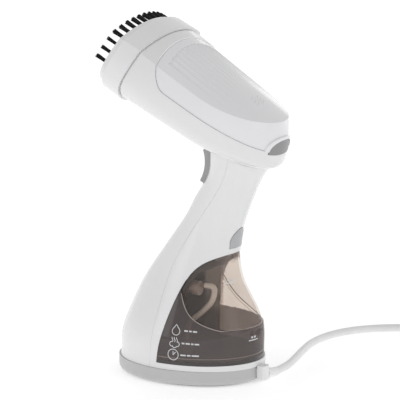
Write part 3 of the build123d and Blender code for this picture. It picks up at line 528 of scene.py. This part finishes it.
def coil_points():
    """Three turns inward on the floor, a rise at the inside, and two and a bit turns outward on top."""
    wide = 2 * CORD_R
    inside = math.cos(math.pi / TURN_POINTS)  # the line runs this share inside its control points
    points = []
    for i in range(1, int(COIL_TURNS * TURN_POINTS) + 1):
        turns = i / TURN_POINTS
        radius = COIL_R + wide
        radius -= wide * sum(step(turns, *span) for span in INWARD_STEPS)
        radius += wide * sum(step(turns, *span) for span in OUTWARD_STEPS)
        height = CORD_R + wide * step(turns, *RISE)
        angle = math.pi / 2 - 2 * math.pi * turns
        x = COIL_X + radius / inside * math.cos(angle)
        y = COIL_Y + radius / inside * math.sin(angle)
        points.append((x, y, height))
    return points


def spline_length(obj):
    """Length of the curve's own line."""
    bare = obj.data.copy()
    bare.bevel_depth = 0
    probe = bpy.data.objects.new("probe", bare)
    scene.collection.objects.link(probe)
    bpy.context.view_layer.update()
    mesh = bpy.data.meshes.new_from_object(probe.evaluated_get(bpy.context.evaluated_depsgraph_get()))
    ends = [[mesh.vertices[k].co for k in edge.vertices] for edge in mesh.edges]
    bpy.data.objects.remove(probe)
    return sum((a - b).length for a, b in ends)


cord_points = [Vector(p) * MM for p in ROUTE + coil_points() + TAIL]
cord = line_curve("mains_lead", cord_points, CORD_R * MM, "cord_white", resolution=8, around=8,
                  stands_for=("power_cord", "power_cord_coil", "power_cord_tail"))

# Plug: turned, with finger flutes and a groove. Its neck rises from the flex to its axis.
PLUG_R, PLUG_FACE = 18.5, 46.0
NECK_LONG = 26.0
FLUTES, FLUTE_DEPTH, FLUTE_START, FLUTE_END = 24, 0.035, (28.0, 32.0), (37.0, 40.0)
plug_at = Vector(TAIL[-1]) * MM
plug_centre = (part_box("plug_pins")[0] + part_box("plug_pins")[1]) / 2
plug_dir = Vector((plug_centre.x - plug_at.x, plug_centre.y - plug_at.y, 0)).normalized()


def neck_rise(distance):
    """How far the neck's middle has climbed from the flex towards the plug's axis."""
    return Vector((0, 0, (PLUG_R * MM - plug_at.z) * step(distance, 0.0, NECK_LONG)))


def flutes(turn, distance):
    """The share of the radius left by the finger flutes."""
    here = step(distance, *FLUTE_START) * (1 - step(distance, *FLUTE_END))
    return 1.0 - FLUTE_DEPTH * here * (0.5 + 0.5 * math.cos(FLUTES * turn))


NECK_RIBS = [(0, 3.75), (2.5, 4.1), (3.2, 3.8), (5.2, 4.0), (6, 4.6), (8, 4.8), (8.8, 4.3), (10.8, 4.6),
             (11.6, 5.3), (13.6, 5.5), (14.4, 5.0), (16.4, 5.3), (17.2, 6.1), (19.2, 6.4), (20, 5.9)]
BELL = [(22, 6.3), (23.5, 7.6), (25.5, 9.3), (27.5, 11.8), (29.5, 14.4), (31.5, 16.4), (33.5, 17.7),
        (35, 18.2), (37, 18.4), (40, 18.45)]
GROOVE_AND_FACE = [(40.3, 18.1), (40.9, 18.1), (41.2, 18.45), (44, 18.4), (45.3, 18.0), (46, 17.2)]
PIN_PROFILE = [(0, 2.4), (17.4, 2.4), (18.4, 2.25), (19.0, 1.85), (19.4, 1.2), (19.5, 0.4)]
PIN_SUNK = 0.5
plug = turned("plug", plug_at, plug_dir, NECK_RIBS + BELL + GROOVE_AND_FACE, "plug_white", 96,
              stands_for=("plug_body",), wobble=flutes, centre=neck_rise)
for i, part in enumerate(loose_parts("plug_pins")):
    middle = sum(part, Vector()) / len(part)
    root = middle - plug_dir * (middle - plug_at).dot(plug_dir) + plug_dir * (PLUG_FACE - PIN_SUNK) * MM
    stands_for = ("plug_pins",) if i == 0 else ()
    turned(f"plug_pin_{i + 1}", root, plug_dir, PIN_PROFILE, "pin_nickel", 40, stands_for)

# Tie: a flat band round the bundle, its ends twisted together on top.
TIE_X = COIL_X - COIL_R
BAND_HALF, BAND_THICK, BAND_CORNER = 2.4, 0.7, 3.0
ABOVE_TABLE, CORNER_STEPS = 0.05, 6


def band(work):
    """Three flexes wide and two high, with round corners."""
    half_wide, high, corner = 3 * CORD_R + 0.25, 4 * CORD_R + 0.2, BAND_CORNER
    inset = half_wide - corner
    top, low = high - corner, corner
    corners = ((inset, top, 0), (-inset, top, 90), (-inset, low, 180), (inset, low, 270))
    outline = []
    for cx, cy, start in corners:
        for k in range(CORNER_STEPS + 1):
            angle = math.radians(start + 90 / CORNER_STEPS * k)
            outline.append((cx, cy, math.cos(angle), math.sin(angle)))
    rings = []
    section = ((-BAND_HALF, 0.0), (-BAND_HALF, BAND_THICK), (BAND_HALF, BAND_THICK), (BAND_HALF, 0.0))
    for y, thick in section:
        verts = []
        for cx, cy, dx, dz in outline:
            reach = corner + thick
            corner_at = Vector((TIE_X + cx + dx * reach, COIL_Y + y, max(ABOVE_TABLE, cy + dz * reach)))
            verts.append(work.verts.new(corner_at * MM))
        rings.append(verts)
    skin(work, rings + [rings[0]], capped=False)


tie = new_piece("lead_tie", made("lead_tie", band), "tie_black", stands_for=("cord_tie",), smooth=False)
TWIST_STEPS, TWIST_TURNS, TWIST_LONG, TWIST_RISE, TWIST_R = 32, 2, 9.0, 5.0, 0.75
OPEN_AT, OPENING, TIE_WIRE = 0.7, 9.0, 0.6  # past this share of its length each end bends away
for i in range(2):
    twist = []
    for k in range(TWIST_STEPS + 1):
        share = k / TWIST_STEPS
        start = math.pi * i
        x = TIE_X - 1 + share * TWIST_LONG
        z = 4 * CORD_R + 1.9 + share * TWIST_RISE
        if share < OPEN_AT:
            angle = start + share * 2 * math.pi * TWIST_TURNS
            y = COIL_Y + TWIST_R * math.cos(angle)
            twist.append(Vector((x, y, z + TWIST_R * math.sin(angle))) * MM)
        else:
            spread = TWIST_R + (share - OPEN_AT) * OPENING
            twist.append(Vector((x, COIL_Y + spread * math.cos(start), z)) * MM)
    line_curve(f"lead_tie_end_{i + 1}", twist, TIE_WIRE * MM, "tie_black")

lead_long = spline_length(cord)


# ---------------------------------------------------------------- tank: finishes, painted highlight bead and rim
# Side-view lines of (x, z): the shoulder's step, and the tank's front and top edge.
SHOULDER = [(-4.0, 112.0), (2.6, 95.0), (9.4, 79.0), (14.2, 68.2), (19.8, 60.4), (27.0, 54.6),
            (35.5, 51.0), (50.0, 46.6)]
TANK_TOP_LINE = [(-5.9, 18.2), (1.1, 51.2), (9.4, 79.2), (19.8, 95.7), (33.0, 103.7), (52.0, 108.6)]
TOP_STRIP, ABOVE_STEP = 5.0, 0.1
TANK_MIDDLE, TANK_LONG, TANK_WIDE = 8.0, 62.0, 50.0  # an oval whose outward side is the tank's outside
FACES_OUT, FACES_DOWN = 0.02, -0.5  # limits of a face's direction, out of the oval and downward


def along(line, x):
    """Height of a side-view line at x, level past its end."""
    if x <= line[0][0]:
        return line[0][1]
    for (x0, z0), (x1, z1) in zip(line, line[1:]):
        if x <= x1:
            return z0 + (z1 - z0) * (x - x0) / (x1 - x0)
    return line[-1][1]


for slot_name in ("smoke_dense", "smoke_top"):
    tank.data.materials.append(MATERIALS[slot_name])
for face in tank.data.polygons:
    x, y, z = face.center / MM
    outward = face.normal.x * (x - TANK_MIDDLE) / TANK_LONG + face.normal.y * y / TANK_WIDE
    dense_below = (along(SHOULDER, x) if y < 0 else SHOULDER[-1][1]) - ABOVE_STEP
    if outward > FACES_OUT and z < dense_below:
        face.material_index = 1
    elif z > along(TANK_TOP_LINE, x) - TOP_STRIP and face.normal.z > FACES_DOWN:
        face.material_index = 2
nodes["tank_valve"].data.materials[0] = MATERIALS["smoke_mid"]
nodes["suction_filter"].data.materials[0] = MATERIALS["smoke_mid"]

# Lines round the tank follow its wall by rays: level ones from the side as far as x = REAR_FROM, then ones
# fanned about REAR_CENTRE. The shoulder's step is where such rays, moved down the wall, jump outward.
SIDE_STEP, REAR_FROM, REAR_CENTRE, REAR_STEPS, REAR_END = 1.5, 48.0, 1.0, 24, 60.0
LEDGE_SEARCH, LEDGE_STEP, LEDGE_JUMP, LEVEL_FROM = 7.0, 0.2, 1.1, 46.0
CLEAR_OF_TANK = 100.0


def on_tank(start, direction):
    """Where a ray from outside, in mm, meets the tank, and the surface's direction there."""
    return tank_tree.ray_cast(Vector(start) * MM, Vector(direction).normalized())[:2]


def beside_tank(x, z):
    """Where a level ray from the near side meets the tank, and the surface's direction there."""
    return on_tank((x, -CLEAR_OF_TANK, z), (0, 1, 0))


def behind_tank(centre, angle, z):
    """Where a level ray towards (centre, 0, z) meets the tank, and the surface's direction there."""
    out = Vector((math.cos(angle), math.sin(angle), 0))
    return on_tank(Vector((centre, 0, z)) + out * CLEAR_OF_TANK, -out)


def round_tank(height, proud, first):
    """Points round the tank's outside, near front edge to far one, at a height that depends on x."""
    near = []
    x = first
    while x < REAR_FROM:
        near.append(beside_tank(x, height(x)))
        x += SIDE_STEP
    last = near[-1][0]
    turn = math.atan2(last.y, last.x - REAR_CENTRE * MM)
    angles = [turn * (1 - 2 * i / REAR_STEPS) for i in range(1, REAR_STEPS)]
    rear = [behind_tank(REAR_CENTRE, angle, height(REAR_END)) for angle in angles]
    points = [place + normal * proud * MM for place, normal in near + rear if place]
    far = [Vector((p.x, -p.y, p.z)) for p in points[: len(near)]]
    return points + far[::-1]


def ledge_height(x):
    """Where the near wall steps out below the shoulder line, by rays down the wall."""
    before = None
    z = along(SHOULDER, x) + LEDGE_SEARCH
    while z > along(SHOULDER, x) - LEDGE_SEARCH:
        place = beside_tank(x, z)[0]
        if before and (place - before).length > LEDGE_JUMP * MM:
            return z
        before = place
        z -= LEDGE_STEP
    return along(SHOULDER, x)


def smooth_shoulder(x):
    """The shoulder's height at x, a mean of three neighbours on the side and level round the rear."""
    x = min(x, LEVEL_FROM)
    heights = [ledge_height(x + d) for d in (-1.0, 0.0, 1.0)]
    return sum(heights) / len(heights)


def wrap_line(name, height, radius, proud, first, paint):
    """A fine round line round the tank's outside from x = first, its middle proud of the wall."""
    points = round_tank(height, proud, first)

    def build(work):
        rings = []
        for i, point in enumerate(points):
            ahead = points[min(i + 1, len(points) - 1)] - points[max(i - 1, 0)]
            side, up = square_to(ahead.normalized())
            rings.append(ring(work, point, side, up, radius * MM, 8))
        skin(work, rings)

    obj = new_piece(name, made(name, build), paint, "tank")


# The shoulder bead is a painted highlight: a lighter line where the shoulder's rounded edge catches the light.
HIGHLIGHT_BEAD_DROP, RIM_Z = 0.45, 24.0
wrap_line("tank_shoulder_painted_highlight", lambda x: smooth_shoulder(x) - HIGHLIGHT_BEAD_DROP, radius=0.36, proud=-0.05,
          first=0.0, paint="smoke_painted_highlight")
wrap_line("tank_lower_rim", lambda x: RIM_Z, radius=0.4, proud=-0.25, first=-4.0, paint="smoke_mid")


# ---------------------------------------------------------------- prints on the tank
INK_LIFT, INK_SEARCH = 0.12, 10.0


def printed(name, x, z, strokes, width):
    """Flat ink strokes on the tank's near side, as points (u rearward, v up) in mm from (x, z)."""
    place, normal = beside_tank(x, z)
    across = Vector((0, 0, 1)).cross(normal).normalized()
    upward = normal.cross(across).normalized()

    def laid(u, v):
        guess = place + across * (u * MM) + upward * (v * MM) + normal * (INK_SEARCH * MM)
        hit, facing = tank_tree.ray_cast(guess, -normal)[:2]
        return hit + facing * (INK_LIFT * MM)

    def build(work):
        for stroke in strokes:
            rings = []
            for i, (u, v) in enumerate(stroke):
                u0, v0 = stroke[max(i - 1, 0)]
                u1, v1 = stroke[min(i + 1, len(stroke) - 1)]
                long = math.hypot(u1 - u0, v1 - v0) or 1.0
                du = -(v1 - v0) / long * width / 2
                dv = (u1 - u0) / long * width / 2
                edges = laid(u + du, v + dv), laid(u - du, v - dv)
                rings.append([work.verts.new(edge) for edge in edges])
            for a, b in zip(rings, rings[1:]):
                work.faces.new((a[0], a[1], b[1], b[0]))

    new_piece(name, made(name, build), "print_white", "tank")


def arc(u, v, radius, first, last, count=20):
    """Points on an arc about (u, v) between two angles in degrees."""
    angles = [math.radians(first + (last - first) * i / count) for i in range(count + 1)]
    return [(u + radius * math.cos(angle), v + radius * math.sin(angle)) for angle in angles]


def dashes(u, v, lengths, gap=0.9):
    """A row of short bars, in place of a line of words."""
    row = []
    for long in lengths:
        row.append([(u, v), (u + long / 2, v), (u + long, v)])
        u += long + gap
    return row


# Three generic icons, each with a row of bars: a drop, a puff of steam and a dial.
ICON_STROKE, BAR_STROKE = 0.62, 1.25
drop_tip = [(0.0, 4.6), (1.6, 2.4), (2.86, 0.85)]
drop = [arc(0.0, -0.8, 3.3, 150, 390), [(-u, v) for u, v in reversed(drop_tip)], drop_tip]
printed("print_drop", 11.6, 47.1, drop, ICON_STROKE)
puffs = [arc(-2.3, -1.6, 1.9, 90, 300), arc(2.3, -1.6, 1.9, -120, 90), arc(0.0, -2.7, 1.9, 200, 340)]
wisps = [[(u + 0.5 * math.sin(k * 0.9), 0.1 + k * 0.65) for k in range(7)] for u in (-2.0, 0.0, 2.0)]
printed("print_steam", 11.2, 37.4, puffs + wisps, ICON_STROKE)
dial = [arc(0, 0, 4.5, 0, 360, 40), [(0, -0.4), (0, 1.4), (0, 2.9)], [(0.2, 0), (1.2, 1.1), (2.2, 2.2)]]
printed("print_dial", 10.2, 27.0, dial, ICON_STROKE)
printed("print_bars_1", 11.6, 47.1, dashes(7.0, 0.0, (3.2, 2.2, 3.4)), BAR_STROKE)
printed("print_bars_2", 9.8, 36.9, dashes(7.6, 0.0, (2.4, 3.6, 2.0, 3.6)), BAR_STROKE)
printed("print_bars_3", 8.9, 27.0, dashes(7.6, 0.0, (4.6, 3.0, 5.8)), BAR_STROKE)

# Strokes of a level mark: lower and upper edge in mm, then start and end as shares of its width.
LEVEL_LINE = (0.0, 0.85, 0.0, 1.0)
LEVEL_BARS = ((2.0, 3.6, 0.25, 0.45), (2.0, 3.6, 0.55, 0.75))
LEVEL_STEPS = 8


def level_mark(name, height, first, last, centre):
    """A level line with two short bars above it, at angles in degrees round the tank's rear."""

    def build(work):
        for low, high, start, end in (LEVEL_LINE, *LEVEL_BARS):
            previous = None
            for i in range(LEVEL_STEPS + 1):
                share = start + (end - start) * i / LEVEL_STEPS
                angle = math.radians(first + (last - first) * share)
                pair = []
                for rise in (low, high):
                    hit, facing = behind_tank(centre, angle, height + rise)
                    pair.append(work.verts.new(hit + facing * (INK_LIFT * MM)))
                if previous:
                    work.faces.new((previous[0], pair[0], pair[1], previous[1]))
                previous = pair

    new_piece(name, made(name, build), "print_white", "tank")


level_mark("print_level_high", 82.6, -22.0, -10.0, centre=2.5)
level_mark("print_level_low", 36.5, -12.0, -2.0, centre=0.0)


# ---------------------------------------------------------------- generic wave mark on the top cover
cover_tree = ray_tree(nodes["head_top_cover"].data)
TILT = math.radians(27.0)
HEAD = Vector((-43.1, 0.0, 230.2))
HEAD_BACK = Vector((math.cos(TILT), 0, -math.sin(TILT)))
HEAD_UP = Vector((math.sin(TILT), 0, math.cos(TILT)))
# The waves run across the cover one behind another, each a fine raised line.
ABOVE_COVER, WAVE_LIFT, WAVE_R = 90.0, 0.05, 0.36
WAVES, WAVE_FROM, WAVE_GAP = 3, 88.0, 3.4
WAVE_HIGH, WAVE_TURN, WAVE_POINTS, WAVE_SIDE, WAVE_STEP = 1.1, 0.62, 20, -7.6, 0.8


def on_cover(back, y):
    """The cover's surface at a distance back along the head and a place across it, in mm."""
    above = (HEAD + HEAD_BACK * back + HEAD_UP * ABOVE_COVER + Vector((0, y, 0))) * MM
    hit, facing = cover_tree.ray_cast(above, -HEAD_UP)[:2]
    return hit + facing * (WAVE_LIFT * MM)


for k in range(WAVES):
    wave = []
    for i in range(WAVE_POINTS):
        back = WAVE_FROM + WAVE_GAP * k + WAVE_HIGH * math.sin(i * WAVE_TURN)
        wave.append(on_cover(back, WAVE_SIDE + i * WAVE_STEP))
    line_curve(f"cover_wave_{k + 1}", wave, WAVE_R * MM, "white_cover", resolution=3)


# ---------------------------------------------------------------- bristles
SEED = 7
rng = random.Random(SEED)
FILAMENT_R, PER_SIDE = 0.22, 6
TAPER = ((0.0, 1.0), (0.5, 1.0), (0.93, 0.95), (1.0, 0.55))  # share of the length, share of the radius
TUFT_FILL, ROOT_SHARE = 0.9, 0.96
FAN, PLACE_JITTER, LEAN_JITTER, SHORTER = 0.3, 0.06, 0.07, 0.45


def filament(work, root, tip, lean):
    """One thin bristle that leans more towards its tip."""
    side, up = square_to((tip - root).normalized())
    rings = []
    for share, thin in TAPER:
        middle = root.lerp(tip, share) + lean * share * share
        rings.append(ring(work, middle, side, up, FILAMENT_R * MM * thin, 5))
    skin(work, rings)


def place_in_tuft(k):
    """Where filament k of a side stands, from -1 to 1, a little off its place."""
    return (k + 0.5) / PER_SIDE * 2 - 1 + rng.uniform(-PLACE_JITTER, PLACE_JITTER)


def bristle_field(work):
    """A square of filaments, fanned at the tips, in place of each tuft's block."""
    outward = Vector(joints["brush_pull"]["axis"]).normalized()
    for corners in loose_parts("brush_bristles"):
        depths = [c.dot(outward) for c in corners]
        ends = [c for c in corners if c.dot(outward) > max(depths) - 1e-5]
        middle = sum(ends, Vector()) / len(ends)
        first = max(ends, key=lambda c: (c - middle).length) - middle
        second = first.cross(outward)
        edge_a, edge_b = (first + second) / 2, (first - second) / 2
        long = max(depths) - min(depths)
        for a in range(PER_SIDE):
            for b in range(PER_SIDE):
                u, v = place_in_tuft(a), place_in_tuft(b)
                shorter = rng.uniform(0.0, SHORTER) * MM
                tip = middle + (edge_a * u + edge_b * v) * TUFT_FILL - outward * shorter
                lean_a = edge_a * (FAN * u + rng.uniform(-LEAN_JITTER, LEAN_JITTER))
                lean_b = edge_b * (FAN * v + rng.uniform(-LEAN_JITTER, LEAN_JITTER))
                filament(work, tip - outward * long * ROOT_SHARE, tip, lean_a + lean_b)


new_piece("bristles", made("bristles", bristle_field), "black_bristle", "brush", ("brush_bristles",))


# ---------------------------------------------------------------- springs
STEPS_PER_TURN, CLOSED_TURNS, WIRE_SIDES = 20, 0.75, 8


def helix(name, node, joint, turns, wire):
    """A coil spring in place of a plain sleeve.

    A slide's spring lies along its joint, and the hinge's spring lies along X.
    """
    points = [v.co for v in nodes[node].data.vertices]
    along_joint = joints[joint]["type"] == "slide"
    axis = Vector(joints[joint]["axis"]).normalized() if along_joint else Vector((1, 0, 0))
    middle = sum(points, Vector()) / len(points)
    reach = [(p - middle).dot(axis) for p in points]
    outer = max(((p - middle) - axis * (p - middle).dot(axis)).length for p in points)
    side, up = square_to(axis)
    radius = outer - wire * MM
    start, end = min(reach) + wire * MM, max(reach) - wire * MM
    count = turns * STEPS_PER_TURN

    def build(work):
        rings = []
        for i in range(count + 1):
            climb = (i / count * turns - CLOSED_TURNS) / (turns - 2 * CLOSED_TURNS)
            level = min(1.0, max(0.0, climb))
            turn = 2 * math.pi * turns * i / count
            out = side * math.cos(turn) + up * math.sin(turn)
            at = middle + axis * (start + (end - start) * level) + out * radius
            rings.append(ring(work, at, out, axis, wire * MM, WIRE_SIDES))
        skin(work, rings)

    coil = new_piece(name, made(name, build), "spring_steel", "handle", (node,))
    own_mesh(coil)


helix("trigger_coil", "trigger_spring", "trigger_hinge", turns=6, wire=0.33)
helix("release_coil", "release_spring", "release_button_slide", turns=8, wire=0.33)
helix("power_coil", "power_button_spring", "power_button_slide", turns=6, wire=0.38)


# ---------------------------------------------------------------- ending
def plain(box):
    """A box as lists of plain numbers."""
    return [[round(float(v), 5) for v in corner] for corner in box]


bpy.context.view_layer.update()
